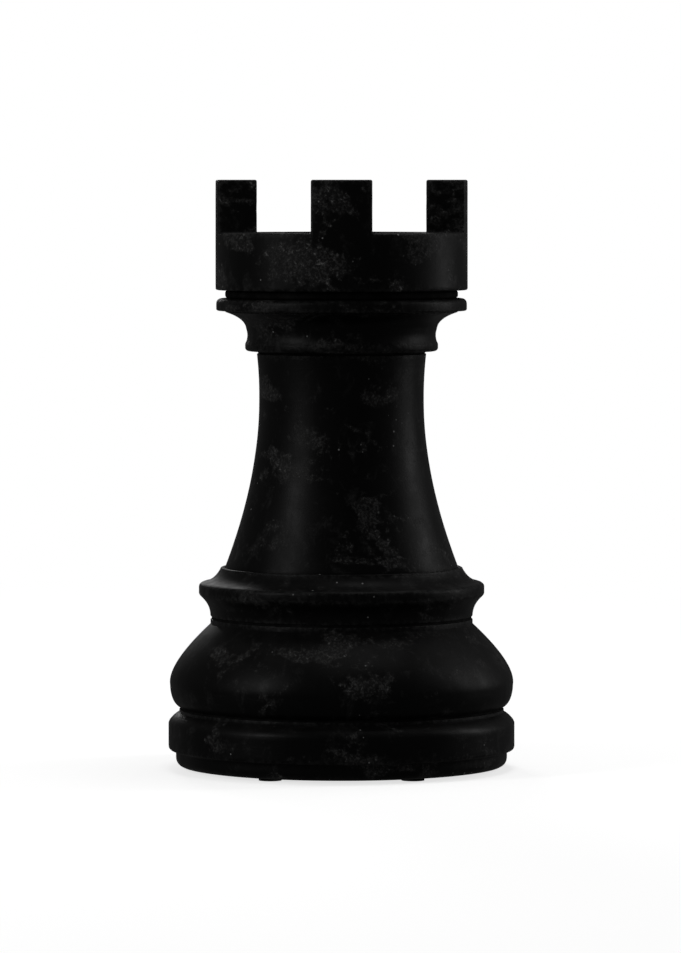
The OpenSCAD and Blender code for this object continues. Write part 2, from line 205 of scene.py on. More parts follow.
SEAM_HALF = 0.55            # half width of the line left where two mould halves met
SEAM_HIGH = 0.16
SEAM_ANGLES = (0.0, math.pi)
SEAM_STEPS = (-1.6, -0.7, 0.0, 0.7, 1.6)    # finer angles across a seam, in its half widths
SEAM_CLEAR = 2.4            # even angles stay this far from a seam, in its half widths
SPIN = 256

# Unevenness of the mouldings: waves for each millimetre, and their height
WIDE_WAVES, WIDE_RIPPLE = 0.014, 0.18
FINE_WAVES, FINE_RIPPLE = 0.045, 0.06
DENT_WAVES, DENT_DEPTH = 0.16, 0.7
DENT_FROM = 0.22            # noise below this leaves no dent
WEAR_REACH = 2.4            # how far from an edge its wear fades
MERGE = 1e-4                # points nearer than this become one
FAR_AWAY = (1e4, 1e4, 0)
SMOOTH_TO = math.radians(32)


def from_seam(a, r):
    return min(abs(math.remainder(a - s, 2 * math.pi)) for s in SEAM_ANGLES) * r


def spin_angles(r, seam):
    """Even angles round the axis, with finer ones across each mould seam."""
    angles = [2 * math.pi * i / SPIN for i in range(SPIN)]
    if not seam:
        return angles
    fine = [s + f * SEAM_HALF / r for s in SEAM_ANGLES for f in SEAM_STEPS]
    angles = [a for a in angles if from_seam(a, r) > SEAM_CLEAR * SEAM_HALF]
    return sorted(angles + [a % (2 * math.pi) for a in fine])


def ripple(x, y, z, seed):
    """Slow unevenness of a large thin moulding."""
    wide = noise.noise(Vector((x, y, z * 0.8)) * WIDE_WAVES + Vector((seed, seed * 1.7, 0)))
    fine = noise.noise(Vector((x, y, z)) * FINE_WAVES + Vector((0, seed, seed)))
    return wide * WIDE_RIPPLE + fine * FINE_RIPPLE


def nick(x, y, z, seed):
    """Depth of the small dents that knocks leave on an edge."""
    dent = noise.noise(Vector((x, y, z)) * DENT_WAVES + Vector((seed, 0, seed)))
    return DENT_DEPTH * max(0.0, dent - DENT_FROM)


def link_mesh(name, bm):
    """Makes the object in metres, with smooth faces and sharp edges kept."""
    bmesh.ops.remove_doubles(bm, verts=bm.verts, dist=MERGE)
    bmesh.ops.recalc_face_normals(bm, faces=bm.faces)
    bmesh.ops.scale(bm, vec=(MM, MM, MM), verts=bm.verts)
    mesh = bpy.data.meshes.new(name)
    bm.to_mesh(mesh)
    bm.free()
    for poly in mesh.polygons:
        poly.use_smooth = True
    mesh.set_sharp_from_angle(angle=SMOOTH_TO)
    obj = bpy.data.objects.new(name, mesh)
    bpy.context.scene.collection.objects.link(obj)
    return obj


def tree_of(points):
    """A tree to find the nearest of the points. An empty list gives one far from everything."""
    tree = kdtree.KDTree(max(1, len(points)))
    for i, p in enumerate(points or [FAR_AWAY]):
        tree.insert(p, i)
    tree.balance()
    return tree


def nearness(tree, point):
    """1 at the nearest of the tree's points, fading to 0 over the reach of wear."""
    return math.exp(-(tree.find(point)[2] / WEAR_REACH) ** 2)


def store_wear(obj, worn):
    """Keeps how much each vertex is handled, from 0 to 1, for the material."""
    layer = obj.data.attributes.new("wear", "FLOAT", "POINT")
    for v in obj.data.vertices:
        layer.data[v.index].value = worn(v.co / MM)


def turned(name, corners, seed, moulded_from=None):
    """A closed turned piece. Its moulded face, from that radius out, gets seams, ripple and nicks."""
    points, handled = rounded(corners)
    outline = divided(points)
    tree = tree_of([(r, z, 0) for r, z in handled])
    worn = [nearness(tree, (r, z, 0)) for r, z in outline]
    widest = max(r for r, _ in outline)
    bm = bmesh.new()
    rings = []
    for a in spin_angles(widest, moulded_from is not None):
        ca, sa = math.cos(a), math.sin(a)
        lift = SEAM_HIGH * max(0.0, 1 - from_seam(a, widest) / SEAM_HALF)
        ring = []
        for (r, z), w in zip(outline, worn):
            if moulded_from is not None and r > moulded_from:
                x, y = r * ca, r * sa
                r += ripple(x, y, z, seed) + lift - w * nick(x, y, z, seed)
            ring.append(bm.verts.new((r * ca, r * sa, z)))
        rings.append(ring)
    count = len(outline)
    for i, ring in enumerate(rings):
        other = rings[(i + 1) % len(rings)]
        for k in range(count):
            up = (k + 1) % count
            if outline[k][0] > 0 or outline[up][0] > 0:
                bm.faces.new((ring[k], other[k], other[up], ring[up]))
    obj = link_mesh(name, bm)
    store_wear(obj, lambda p: nearness(tree, (math.hypot(p.x, p.y), p.z, 0)))
    return obj


def thread(name, r_root, r_crest, lead, turns, z_start, w_root, w_crest):
    """A right-hand helical bead whose ends fade into the wall."""
    per_turn, fade, thinnest = 96, 8, 0.08
    count = round(turns * per_turn)
    bm = bmesh.new()
    rings = []
    for i in range(count + 1):
        a = 2 * math.pi * i / per_turn
        z = z_start + lead * i / per_turn
        crest = r_root + (r_crest - r_root) * max(thinnest, min(1.0, i / fade, (count - i) / fade))
        section = [(r_root, -w_root), (crest, -w_crest), (crest, w_crest), (r_root, w_root)]
        rings.append([bm.verts.new((r * math.cos(a), r * math.sin(a), z + w / 2)) for r, w in section])
    for one, two in zip(rings, rings[1:]):
        for k in range(4):
            bm.faces.new((one[k], two[k], two[(k + 1) % 4], one[(k + 1) % 4]))
    bm.faces.new(rings[0])
    bm.faces.new(rings[-1])
    return link_mesh(name, bm)


def repeated(name, section, count, ring_r, socket_r=None):
    """Small turned pieces round the axis, from half a step past +X, as one mesh.

    Points of the section at the socket's radius follow a hexagon.
    """
    around, side = 24, math.radians(60)
    bm = bmesh.new()
    for b in range(count):
        a = 2 * math.pi * (b + 0.5) / count
        cx, cy = ring_r * math.cos(a), ring_r * math.sin(a)
        rings = []
        for i in range(around):
            t = 2 * math.pi * i / around
            flat = math.cos(side / 2) / math.cos(t % side - side / 2)
            reach = [r * flat if r == socket_r else r for r, _ in section]
            rings.append([bm.verts.new((cx + r * math.cos(t), cy + r * math.sin(t), z))
                          for r, (_, z) in zip(reach, section)])
        for i, ring in enumerate(rings):
            other = rings[(i + 1) % around]
            for k in range(len(section)):
                up = (k + 1) % len(section)
                if section[k][0] > 0 or section[up][0] > 0:
                    bm.faces.new((ring[k], other[k], other[up], ring[up]))
    return link_mesh(name, bm)


def bosses(name, count, ring_r, z1, z2):
    """Screw bosses, each a tube with rounded ends."""
    section, _ = rounded([(SCREW_HOLE_R, z1, 0.4), (BOSS_R, z1, 0.6), (BOSS_R, z2, 0.6),
                          (SCREW_HOLE_R, z2, 0.4)], 3)
    return repeated(name, section, count, ring_r)


def screws(name, node, count, ring_r):
    """The node's pan-head screws, heads down, with a hexagon socket in each."""
    z1, z2 = low(node), high(node)
    section, _ = rounded([
        (0, z1 + SCREW_SOCKET_DEPTH, 0),
        (SCREW_SOCKET_R, z1 + SCREW_SOCKET_DEPTH, 0),
        (SCREW_SOCKET_R, z1, 0),
        (SCREW_HEAD_R, z1, 1.3),
        (SCREW_HEAD_R, z1 + SCREW_HEAD_H, 0.2),
        (SCREW_R, z1 + SCREW_HEAD_H, 0),
        (SCREW_R, z2 - SCREW_TIP_H, 0),
        (SCREW_R - SCREW_TIP_IN, z2, 0),
        (0, z2, 0),
    ])
    return repeated(name, section, count, ring_r, SCREW_SOCKET_R)


# ---------------------------------------------------------------- camera

AIM_Z = 0.1942              # height on the axis that is at the middle of the picture
EYE_Z = 0.391               # level with the top of the merlons
EYE_BACK = 3.9
EYE_X = -0.0007
PICTURE_H = 0.6328          # height that the picture spans at the axis
SENSOR = 36.0

camera_data = bpy.data.cameras.new("camera")
camera = bpy.data.objects.new("camera", camera_data)
bpy.context.scene.collection.objects.link(camera)
camera.location = (EYE_X, -EYE_BACK, EYE_Z)
sight = Vector((EYE_X, 0, AIM_Z)) - camera.location
camera.rotation_mode = "QUATERNION"
camera.rotation_quaternion = sight.to_track_quat("-Z", "Y")
camera_data.sensor_width = SENSOR
camera_data.lens = SENSOR * sight.length / PICTURE_H
camera_data.clip_end = 100
bpy.context.scene.camera = camera

# ---------------------------------------------------------------- materials


class Nodes:
    """Short names for building a node material."""

    def __init__(self, name):
        self.mat = bpy.data.materials.new(name)
        self.mat.use_nodes = True
        self.tree = self.mat.node_tree
        self.shader = self.tree.nodes["Principled BSDF"]
        self.coord = self.tree.nodes.new("ShaderNodeTexCoord").outputs["Object"]

    def put(self, socket, value):
        if isinstance(value, (int, float, tuple)):
            socket.default_value = value
        else:
            self.tree.links.new(value, socket)

    def stretch(self, scale):
        node = self.tree.nodes.new("ShaderNodeMapping")
        node.inputs["Scale"].default_value = scale
        self.put(node.inputs["Vector"], self.coord)
        return node.outputs["Vector"]

    def noise(self, scale, detail=4.0, rough=0.55, warp=0.0, at=None):
        node = self.tree.nodes.new("ShaderNodeTexNoise")
        node.inputs["Scale"].default_value = scale
        node.inputs["Detail"].default_value = detail
        node.inputs["Roughness"].default_value = rough
        node.inputs["Distortion"].default_value = warp
        self.put(node.inputs["Vector"], at or self.coord)
        return node.outputs["Fac"]

    def cells(self, scale):
        node = self.tree.nodes.new("ShaderNodeTexVoronoi")
        node.inputs["Scale"].default_value = scale
        self.put(node.inputs["Vector"], self.coord)
        return node.outputs["Distance"]

    def ramp(self, value, lo, hi, a=0.0, b=1.0):
        node = self.tree.nodes.new("ShaderNodeMapRange")
        node.interpolation_type = "SMOOTHSTEP"
        self.put(node.inputs["Value"], value)
        node.inputs["From Min"].default_value = lo
        node.inputs["From Max"].default_value = hi
        node.inputs["To Min"].default_value = a
        node.inputs["To Max"].default_value = b
        return node.outputs["Result"]

    def math(self, kind, a, b=0.0, clamp=False):
        node = self.tree.nodes.new("ShaderNodeMath")
        node.operation = kind
        node.use_clamp = clamp
        self.put(node.inputs[0], a)
        self.put(node.inputs[1], b)
        return node.outputs[0]

    def times(self, a, b):
        return self.math("MULTIPLY", a, b)

    def plus(self, a, b):
        return self.math("ADD", a, b)

    def mix(self, factor, a, b):
        """One colour into the other. A Mix node's colour sockets are 6 and 7, and its colour output 2."""
        node = self.tree.nodes.new("ShaderNodeMix")
        node.data_type = "RGBA"
        self.put(node.inputs["Factor"], factor)
        self.put(node.inputs[6], a)
        self.put(node.inputs[7], b)
        return node.outputs[2]

    def attribute(self, name):
        node = self.tree.nodes.new("ShaderNodeAttribute")
        node.attribute_name = name
        return node.outputs["Fac"]

    def height(self):
        split = self.tree.nodes.new("ShaderNodeSeparateXYZ")
        self.put(split.inputs["Vector"], self.coord)
        return split.outputs["Z"]

    def upward(self):
        """1 on faces that look up, 0 on the rest, for settled dust."""
        geometry = self.tree.nodes.new("ShaderNodeNewGeometry")
        split = self.tree.nodes.new("ShaderNodeSeparateXYZ")
        self.put(split.inputs["Vector"], geometry.outputs["Normal"])
        return self.ramp(split.outputs["Z"], 0.35, 0.95)

    def bump(self, height, distance, strength, below=None):
        """Relief of that many millimetres, sunk where the strength is negative."""
        node = self.tree.nodes.new("ShaderNodeBump")
        node.inputs["Strength"].default_value = abs(strength)
        node.inputs["Distance"].default_value = distance * MM
        node.invert = strength < 0
        self.put(node.inputs["Height"], height)
        if below is not None:
            self.put(node.inputs["Normal"], below)
        return node.outputs["Normal"]

    def done(self, color, roughness, normal, metallic=0.0, specular=0.5):
        self.put(self.shader.inputs["Base Color"], color)
        self.put(self.shader.inputs["Roughness"], roughness)
        self.put(self.shader.inputs["Normal"], normal)
        self.shader.inputs["Metallic"].default_value = metallic
        self.shader.inputs["Specular IOR Level"].default_value = specular
        return self.mat


def grey(v, warm=0.0):
    """A grey, warmer as warm grows and cooler when it is negative."""
    return (v * (1 + warm), v, v * (1 - warm), 1.0)


def black_plastic():
    """Black polythene left outdoors: dry mottled patches, scuffed edges, specks and fine grain."""
    deepest, deep = grey(0.0018), grey(0.0034)
    dull, rubbed, scuffed, dusty = grey(0.026), grey(0.024), grey(0.045), grey(0.036, 0.04)
    chalk_dark, chalk_pale, speck = grey(0.058, 0.01), grey(0.30, 0.01), grey(0.34)
    n = Nodes("black_plastic")
    # Masks: chalky patches, thicker near the head, then rubbed streaks, specks, worn edges and dust
    cloud = n.noise(1.0, 3, 0.55, 0.6, n.stretch((26, 26, 46)))
    ragged = n.noise(210, 6, 0.68)
    head = n.ramp(n.height(), 0.26, 0.36)
    patch = n.plus(cloud, n.times(n.math("SUBTRACT", ragged, 0.5), 0.55))
    patch = n.ramp(n.plus(patch, n.times(head, 0.045)), 0.555, 0.66)
    crumbs = n.ramp(n.noise(560, 4, 0.7), 0.46, 0.60)
    chalk = n.times(patch, n.ramp(crumbs, 0.0, 1.0, 0.22, 1.0))
    rub = n.ramp(n.noise(1.0, 5, 0.7, 0.2, n.stretch((60, 60, 300))), 0.60, 0.72)
    rub = n.times(rub, n.ramp(n.noise(16, 3, 0.5), 0.5, 0.65))
    spot = n.ramp(n.cells(135), 0.05, 0.10, 1.0, 0.0)
    spot = n.times(spot, n.ramp(n.noise(31, 2, 0.5), 0.565, 0.63))
    wear = n.attribute("wear")
    scuff = n.times(wear, n.ramp(n.noise(300, 5, 0.7), 0.44, 0.62))
    dust = n.times(n.upward(), n.ramp(n.noise(60, 5, 0.6), 0.3, 0.75, 0.15, 1.0))
    flakes = n.ramp(n.plus(n.noise(260, 5, 0.75, 0.4), n.times(head, 0.03)), 0.56, 0.72)
    # Colour, from the plastic outwards
    dried = n.mix(flakes, chalk_dark, chalk_pale)
    base = n.mix(n.ramp(n.noise(9, 3, 0.5), 0.35, 0.65), deepest, deep)
    faint = n.ramp(n.noise(1.0, 5, 0.66, 0.5, n.stretch((84, 84, 58))), 0.53, 0.66)
    faint = n.times(faint, n.ramp(crumbs, 0.0, 1.0, 0.35, 1.0))
    base = n.mix(n.times(faint, 0.8), base, dull)
    base = n.mix(n.times(rub, 0.6), base, rubbed)
    base = n.mix(n.times(chalk, 0.9), base, dried)
    base = n.mix(n.times(scuff, 0.5), base, scuffed)
    base = n.mix(n.times(dust, 0.25), base, dusty)
    base = n.mix(spot, base, speck)
    # Roughness, then relief
    rough = n.ramp(n.noise(34, 4, 0.6), 0.3, 0.7, 0.36, 0.48)
    rough = n.plus(rough, n.times(chalk, 0.25))
    rough = n.math("ADD", rough, n.times(dust, 0.2), clamp=True)
    grain = n.bump(n.noise(900, 3, 0.6), 0.05, 0.6)
    pits = n.bump(n.ramp(n.cells(420), 0.0, 0.5), 0.03, 0.5, grain)
    level = n.ramp(n.noise(1.0, 2, 0.5, 0.6, n.stretch((22, 22, 900))), 0.66, 0.72)
    steep = n.ramp(n.noise(1.0, 2, 0.5, 0.9, n.stretch((700, 60, 40))), 0.67, 0.73)
    marks = n.bump(n.plus(level, steep), 0.05, 0.4, pits)
    dry = n.bump(chalk, 0.06, 0.6, marks)
    chips = n.bump(scuff, 0.15, -0.6, dry)
    return n.done(base, rough, chips, specular=0.14)


def rubber():
    """Matt rubber with a faint bloom and a fine grain."""
    n = Nodes("rubber")
    bloom = n.ramp(n.noise(90, 5, 0.6), 0.45, 0.75)
    color = n.mix(bloom, grey(0.004), grey(0.016, 0.02))
    rough = n.ramp(n.noise(160, 4, 0.6), 0.3, 0.7, 0.72, 0.9)
    normal = n.bump(n.noise(1500, 3, 0.6), 0.03, 0.6)
    return n.done(color, rough, normal, specular=0.1)


def zinc_steel():
    """Bright zinc plate, brushed and a little dulled."""
    n = Nodes("zinc_steel")
    lines = n.noise(1.0, 3, 0.6, 0.0, n.stretch((2600, 2600, 180)))
    stain = n.ramp(n.noise(55, 5, 0.65), 0.5, 0.72)
    color = n.mix(n.ramp(n.noise(380, 4, 0.6), 0.3, 0.7), grey(0.51, -0.02), grey(0.67, -0.02))
    color = n.mix(n.times(stain, 0.5), color, (0.30, 0.27, 0.22, 1))
    rough = n.ramp(n.noise(240, 4, 0.6), 0.3, 0.7, 0.28, 0.5)
    return n.done(color, rough, n.bump(lines, 0.02, 0.5), metallic=1.0)


def cast_iron():
    """Sand-cast iron under dark paint, rusting through."""
    n = Nodes("cast_iron")
    rust = n.ramp(n.noise(70, 6, 0.7), 0.55, 0.68)
    color = n.mix(rust, grey(0.03), (0.16, 0.062, 0.026, 1))
    rough = n.ramp(rust, 0, 1, 0.6, 0.88)
    return n.done(color, rough, n.bump(n.noise(450, 5, 0.7), 0.25, 0.8), specular=0.4)


SLOTS = {
    "black_plastic": black_plastic(),
    "rubber": rubber(),
    "steel": zinc_steel(),
    "cast_iron": cast_iron(),
}


def dress(obj, slot, body, *nodes):
    """Gives a new piece its material and body, and hides the CAD nodes that it stands for."""
    obj.data.materials.clear()
    obj.data.materials.append(SLOTS[slot])
    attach(obj, body)
    if nodes:
        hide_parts(*nodes)


# ---------------------------------------------------------------- foot and base

foot = turned("foot_ring_moulding", [
    (PLINTH_R - 9, FOOT_Z, 0.5),
    (PLINTH_R, FOOT_Z, 5),
    (PLINTH_R, FOOT_Z + 11, 1.5),
    (BAND_R, FOOT_Z + 11, 2.0),
    *curve((BAND_R, FOOT_Z + 28.5), (BAND_R - 1, FOOT_Z + 32.5), (BAND_R - 7.2, FOOT_TOP - 2)),
    (BAND_R - 7.2, FOOT_TOP, 0.4),
    (FOOT_SPIGOT_R, FOOT_TOP, 0),
    (FOOT_SPIGOT_R, FOOT_TOP + SPIGOT_H, 0.8),
    (FOOT_SPIGOT_R - SHELL_T, FOOT_TOP + SPIGOT_H, 0.8),
    (FOOT_SPIGOT_R - SHELL_T, FOOT_TOP - WALL, 0.5),
    (BAND_R - 8.4, FOOT_TOP - WALL, 1),
    *curve((BAND_R - 6.5, FOOT_TOP - 5), (BAND_R - WALL - 0.5, FOOT_Z + 32),
           (BAND_R - WALL, FOOT_Z + 29), 6),
    (BAND_R - WALL, SHELF_Z + WALL, 1),
    (PLATE_LEDGE_R, SHELF_Z + WALL, 0.5),
    (PLATE_LEDGE_R, SHELF_Z, 0.5),
    (PLINTH_R - WALL, SHELF_Z, 0.4),
    (PLINTH_R - WALL, FOOT_Z + 4.5, 2),
], seed=1, moulded_from=BAND_R - 7.6)
dress(foot, "black_plastic", "piece", "foot_ring")

foot_bosses = bosses("foot_ring_bosses", FOOT_BOSSES, FOOT_BOSS_RING_R, SHELF_Z, FOOT_TOP - 2 * WALL)
dress(foot_bosses, "black_plastic", "piece")

plate_screws = screws("base_plate_screw_set", "base_plate_screws", FOOT_BOSSES, FOOT_BOSS_RING_R)
dress(plate_screws, "steel", "piece", "base_plate_screws")

dome = turned("base_dome_moulding", [
    (DOME_R - 6, DOME_Z, 0),
    *curve((DOME_R - 5.8, DOME_Z + 0.2), (DOME_R - 1.2, DOME_Z + 3), (DOME_R - 0.3, DOME_Z + 11), 8),
    *curve((DOME_R, DOME_Z + 15), (DOME_R + 1.1, DOME_Z + 28.7), (WAIST_R, DOME_Z + 55), 26),
    (WAIST_R, DOME_TOP, 0.8),
    (WAIST_SPIGOT_R, DOME_TOP, 0),
    (WAIST_SPIGOT_R, DOME_TOP + SPIGOT_H, 0.8),
    (WAIST_SPIGOT_R - SHELL_T, DOME_TOP + SPIGOT_H, 0.8),
    (WAIST_SPIGOT_R - SHELL_T, DOME_TOP - WALL, 0.5),
    (WAIST_R - 5, DOME_TOP - WALL, 1),
    *curve((WAIST_R - DOME_WALL, DOME_Z + 53.5), (DOME_R - 3.4, DOME_Z + 28.7),
           (DOME_R - DOME_WALL, DOME_Z + 15)),
    (DOME_R - 4.8, DOME_Z + 11, 2),
    (DOME_R - 7, DOME_Z + WALL, 1),
    (FOOT_SPIGOT_R + PLAY, DOME_Z + WALL, 0.5),
    (FOOT_SPIGOT_R + PLAY, DOME_Z, 0.4),
], seed=2, moulded_from=WAIST_R - 0.3)
dress(dome, "black_plastic", "piece", "base_dome")

collar = turned("waist_collar_moulding", [
    (WAIST_R, COLLAR_Z, 0.6),
    *curve((WAIST_R, COLLAR_Z + 1), (WAIST_R + 0.3, COLLAR_Z + 7.5),
           (COLLAR_R - 1.6, COLLAR_Z + 13), 12),
    (COLLAR_R, COLLAR_Z + 14.6, 2.4),
    (COLLAR_R, COLLAR_Z + 22, 3),
    *curve((COLLAR_R - 4.2, COLLAR_Z + 22.8), (SOCKET_R + 6.5, COLLAR_Z + 24.8),
           (SOCKET_R + 3, COLLAR_TOP - 0.6)),
    (SOCKET_R + 2.9, COLLAR_TOP, 0.6),
    (SOCKET_R, COLLAR_TOP, 0.6),
    (SOCKET_R, LEDGE_TOP, 0),
    (LEDGE_R, LEDGE_TOP, 0.5),
    (LEDGE_R, LEDGE_TOP - WALL, 0.5),
    (COLLAR_R - 5, LEDGE_TOP - WALL, 1),
    (COLLAR_R - WALL, COLLAR_Z + 17, 1),
    (COLLAR_R - WALL - 1.6, COLLAR_Z + 13, 2),
    (WAIST_R - WALL + 0.6, COLLAR_Z + 8, 3),
    (WAIST_R - WALL, COLLAR_Z + WALL, 0.5),
    (WAIST_SPIGOT_R + PLAY, COLLAR_Z + WALL, 0.5),
    (WAIST_SPIGOT_R + PLAY, COLLAR_Z, 0.4),
], seed=3, moulded_from=SOCKET_R + 0.2)
dress(collar, "black_plastic", "piece", "waist_collar")

# ---------------------------------------------------------------- stem

STEM_LOW = STEM_Z + 7.4
STEM_BEND = STEM_Z + 66.8
STEM_NARROW = STEM_Z + 117.4
stem = turned("stem_moulding", [
    (STEM_R, STEM_Z, 0.4),
    *curve((STEM_R, STEM_LOW), (STEM_MIN_R, STEM_BEND), (STEM_MIN_R, STEM_NARROW), 48),
    *curve((STEM_MIN_R, STEM_NARROW + 2), (STEM_MIN_R, STEM_TOP - 14),
           (STEM_MIN_R + 1.5, STEM_TOP - 0.6), 12),
    (STEM_MIN_R + 1.5, STEM_TOP, 0.5),
    (NECK_SPIGOT_R, STEM_TOP, 0),
    (NECK_SPIGOT_R, NECK_SPIGOT_TOP, 0.6),
    (NECK_SPIGOT_R - SHELL_T, NECK_SPIGOT_TOP, 0.6),
    (NECK_SPIGOT_R - SHELL_T, STEM_TOP - WALL, 0.5),
    (STEM_MIN_R - WALL + 0.9, STEM_TOP - WALL, 0.5),
    *curve((STEM_MIN_R - WALL, STEM_NARROW), (STEM_MIN_R - WALL, STEM_BEND),
           (STEM_R - WALL, STEM_LOW), 24),
    (STEM_R - WALL, STEM_Z + WALL, 1),
    (LEDGE_R, STEM_Z + WALL, 0.5),
    (LEDGE_R, STEM_Z, 0.5),
], seed=4, moulded_from=STEM_MIN_R - 0.5)
dress(stem, "black_plastic", "piece", "stem")

# ---------------------------------------------------------------- neck and cornice

neck = turned("neck_collar_moulding", [
    (NECK_BEAD_R - 3, NECK_Z, 0.4),
    (NECK_BEAD_R, NECK_Z, 2.6),
    (NECK_BEAD_R, NECK_Z + 4.8, 2.6),
    *curve((NECK_BEAD_R - 0.8, NECK_Z + 6.5), (NECK_BEAD_R - 2.2, NECK_Z + 10.5),
           (NECK_BEAD_R - 0.8, NECK_Z + 14.5), 8),
    *curve((NECK_BEAD_R - 0.6, NECK_Z + 15.5), (NECK_BEAD_R + 0.6, NECK_TOP - 5),
           (CORNICE_R - 6.2, NECK_TOP - 1)),
    (CORNICE_R - 6.2, NECK_TOP, 0.3),
    (GROOVE_OUT_R, NECK_TOP, 0.3),
    (GROOVE_OUT_R, NECK_TOP - GROOVE_DEPTH, 0),
    (GROOVE_IN_R, NECK_TOP - GROOVE_DEPTH, 0),
    (GROOVE_IN_R, NECK_TOP, 0.3),
    (NECK_BORE_R, NECK_TOP, 0.3),
    (NECK_BORE_R, NECK_Z + WALL, 0.5),
    (NECK_SPIGOT_R + PLAY, NECK_Z + WALL, 0.5),
    (NECK_SPIGOT_R + PLAY, NECK_Z, 0.5),
], seed=5, moulded_from=NECK_BEAD_R - 3.2)
dress(neck, "black_plastic", "piece", "neck_collar")

cornice = turned("cornice_moulding", [
    (CORNICE_R, NECK_TOP, 1.2),
    (CORNICE_R, CORNICE_TOP, 3.4),
    (MOUTH_R, CORNICE_TOP, 0.8),
    (MOUTH_R, SPIDER_Z, 0.3),
    (MOUTH_LEDGE_R, SPIDER_Z, 0.4),
    (MOUTH_LEDGE_R, SPIDER_Z - SHELL_T, 0.4),
    (MOUTH_OUT_R, SPIDER_Z - SHELL_T, 0.4),
    (MOUTH_OUT_R, NECK_TOP, 0),
], seed=6, moulded_from=CORNICE_R - 6)
dress(cornice, "black_plastic", "piece", "cornice")

CROWN_LEAD = 12
BEAD_TURNS = 1.2
BEAD_H, BEAD_SUNK = 2.4, 0.4
BEAD_Z = SPIDER_TOP + 2.9
BEAD_ROOT_W, BEAD_CREST_W = 0.38 * CROWN_LEAD, 0.2 * CROWN_LEAD
mouth_bead = thread("cornice_thread", MOUTH_R + BEAD_SUNK, MOUTH_R - BEAD_H, CROWN_LEAD, BEAD_TURNS,
                    BEAD_Z, BEAD_ROOT_W, BEAD_CREST_W)
dress(mouth_bead, "black_plastic", "piece")

# ---------------------------------------------------------------- crown

gasket = turned("crown_gasket_ring", [
    (GASKET_R, CORNICE_TOP + SLIP, 2.0),
    (GASKET_R, CROWN_Z - SLIP, 2.0),
    (GASKET_IN_R, CROWN_Z - SLIP, 0.4),
    (GASKET_IN_R, CORNICE_TOP + SLIP, 0.4),
], seed=7)
dress(gasket, "rubber", "gasket", "crown_gasket")

PLATE_TOP = high("crown_base") + 2 * SLIP
POCKET_HALF = MERLON_HALF - CROWN_WALL
POCKET_TOP = CROWN_TOP - CROWN_WALL
TRAY_LEDGE = 3              # depth and height of the ledge that the tray rests on
TRAY_RIM_T = 2.2
CRENEL_STEPS = 44
CROWN_EDGE = 1.3            # rounding of the crown's edges
CORNER_FROM = math.radians(40)
CROWN_SMOOTH_TO = math.radians(50)


def crown_stations():
    """(quarter, place, offset) round the crown: an offset across a merlon, or a place over a gap."""
    side = steps_between(POCKET_HALF, MERLON_HALF, 2)
    across = [-x for x in reversed(side)] + steps_between(-POCKET_HALF, POCKET_HALF)[1:-1] + side[:-1]
    stations = []
    for quarter in range(4):
        stations += [(quarter, None, x) for x in across]
        stations += [(quarter, i / CRENEL_STEPS, None) for i in range(CRENEL_STEPS)]
    return stations


def crown_point(station, r):
    """A point at radius r, where merlon sides stay parallel whatever the radius."""
    quarter, place, offset = station
    edge = math.asin(MERLON_HALF / r)
    a = math.asin(offset / r) if place is None else edge + (math.pi / 2 - 2 * edge) * place
    a += (quarter - 1) * math.pi / 2
    return r * math.cos(a), r * math.sin(a)


def crown_mesh():
    """Drum, well wall, crenel floors and hollow merlons as one closed mesh."""
    bm = bmesh.new()
    made = {}
    stations = crown_stations()
    count = len(stations)

    def vert(s, r, z):
        key = (s % count, round(r, 4), round(z, 4))
        if key not in made:
            made[key] = bm.verts.new((*crown_point(stations[s % count], r), z))
        return made[key]

    def strip(s, path):
        for (r0, z0), (r1, z1) in zip(path, path[1:]):
            bm.faces.new((vert(s, r0, z0), vert(s + 1, r0, z0), vert(s + 1, r1, z1), vert(s, r1, z1)))

    def wall(s, radii, heights):
        for r0, r1 in zip(radii, radii[1:]):
            for z0, z1 in zip(heights, heights[1:]):
                bm.faces.new((vert(s, r0, z0), vert(s, r1, z0), vert(s, r1, z1), vert(s, r0, z1)))

    skirt_r, channel_r = CROWN_R - CROWN_WALL, WELL_R + CROWN_WALL
    roof_z = CRENEL_Z - CROWN_WALL
    radii, heights = steps_between(CROWN_R, WELL_R), steps_between(CRENEL_Z, CROWN_TOP)
    drum = [(CROWN_R, z) for z in steps_between(CROWN_Z, CRENEL_Z)]
    crenel = [(r, CRENEL_Z) for r in radii]
    well = [(WELL_R, z) for z in steps_between(CRENEL_Z, TRAY_Z)]
    well += [(WELL_R - TRAY_LEDGE, TRAY_Z), (WELL_R - TRAY_LEDGE, TRAY_Z - TRAY_LEDGE)]
    well += [(WELL_R, z) for z in steps_between(TRAY_Z - TRAY_LEDGE, PLATE_TOP)]
    inner = [(WELL_R, PLATE_TOP), (channel_r, PLATE_TOP), (channel_r, roof_z)]
    outer = [(skirt_r, roof_z), (skirt_r, CROWN_Z), (CROWN_R, CROWN_Z)]
    pocket = [(channel_r, POCKET_TOP), (skirt_r, POCKET_TOP)]
    merlon = [(CROWN_R, z) for z in heights] + [(r, CROWN_TOP) for r in radii[1:]]
    merlon += [(WELL_R, z) for z in reversed(heights[:-1])]
    for s, (_, place, offset) in enumerate(stations):
        strip(s, drum)
        strip(s, well)
        if place is not None:
            strip(s, crenel)
            strip(s, inner + outer)
        else:
            strip(s, merlon)
            hollow = -POCKET_HALF <= offset < POCKET_HALF
            strip(s, inner + (pocket if hollow else []) + outer)
            if abs(offset) == POCKET_HALF:
                wall(s, [channel_r, skirt_r], [roof_z, POCKET_TOP])
        if offset == -MERLON_HALF or place == 0:
            wall(s, radii, heights)
    return bm


